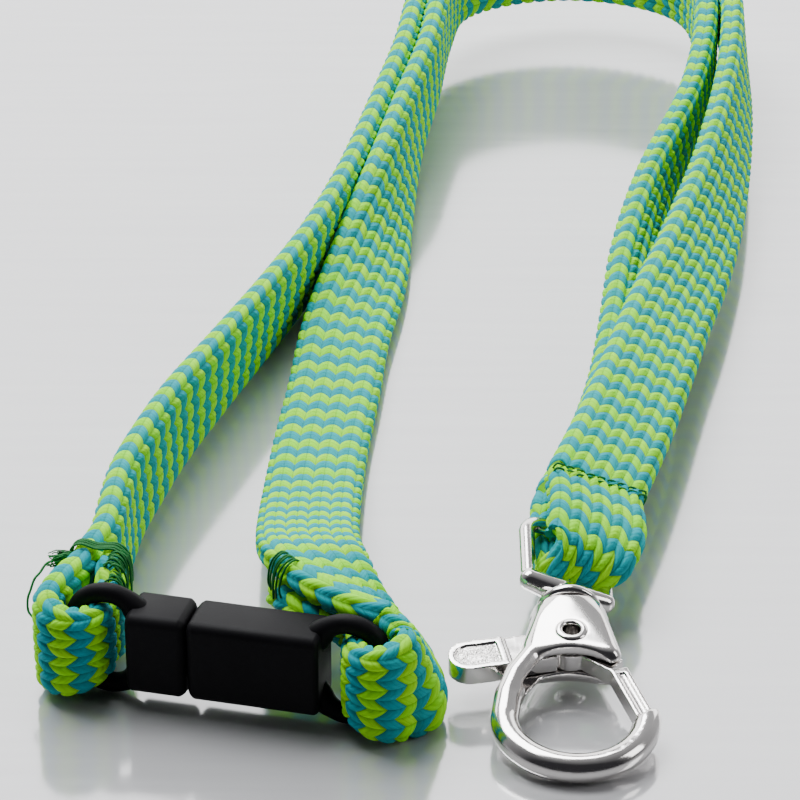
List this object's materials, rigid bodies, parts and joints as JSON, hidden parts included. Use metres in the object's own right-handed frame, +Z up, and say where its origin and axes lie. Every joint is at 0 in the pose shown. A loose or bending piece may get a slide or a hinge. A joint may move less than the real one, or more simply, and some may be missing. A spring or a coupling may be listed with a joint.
{
  "type": "lanyard with swivel hook",
  "caption": "Neck lanyard of flat two-colour braid doubled into a U, with a black breakaway buckle and a plated swivelling trigger hook for a badge.",
  "frame": {"origin": "centre of the laid-out lanyard's footprint, on the surface it lies on", "axes": "+Y from the hook and the buckle towards the far turn of the strap, +X to the right seen from the hook's end, +Z up"},
  "size_m": [0.111, 0.262, 0.0217],
  "materials": {
    "braid": "two-colour woven zigzag, matt",
    "thread": "twisted thread, matt",
    "buckle_plastic": "fine moulded texture",
    "plated_metal": "polished nickel plating",
    "spring_steel": "drawn wire"
  },
  "bodies": {
    "lanyard": {"socket_body": "buckle_plastic", "socket_ring": "buckle_plastic", "socket_strap_loop": "braid", "socket_stitches": "thread", "strap_left_run": "braid", "strap_right_run": "braid", "hook_strap_loop": "braid", "hook_stitches": "thread"},
    "plug": {"plug_body": "buckle_plastic", "plug_ring": "buckle_plastic", "plug_prongs": "buckle_plastic", "plug_strap_loop": "braid", "plug_stitches": "thread", "loose_thread": "thread"},
    "eye": {"swivel_eye": "plated_metal", "swivel_post": "plated_metal", "post_head": "plated_metal"},
    "hook": {"hook_body": "plated_metal", "hook_bend": "plated_metal", "hook_collar": "plated_metal", "rivet": "plated_metal"},
    "gate": {"gate_hub": "plated_metal", "gate_bar": "plated_metal", "thumb_lever": "plated_metal", "gate_spring": "spring_steel"}
  },
  "joints": [
    {"name": "buckle_release", "type": "slide", "parent": "lanyard", "child": "plug", "axis": [-0.9703, 0.2419, 0], "range_m": [0, 0.014]},
    {"name": "eye_swing", "type": "hinge", "parent": "lanyard", "child": "eye", "pos_m": [0.0141, -0.08329, 0.00917], "axis": [-0.9272, -0.0586, 0.37], "range_deg": [0, 60]},
    {"name": "hook_swivel", "type": "hinge", "parent": "eye", "child": "hook", "pos_m": [0.0141, -0.10009, 0.00651], "axis": [0, 0.9877, 0.1564], "continuous": true},
    {"name": "gate_opening", "type": "hinge", "parent": "hook", "child": "gate", "pos_m": [0.0141, -0.107, 0.00542], "axis": [0, 0.1564, -0.9877], "range_deg": [0, 28], "stiffness_Nm_per_rad": 0.04, "springref_deg": -17.19}
  ]
}
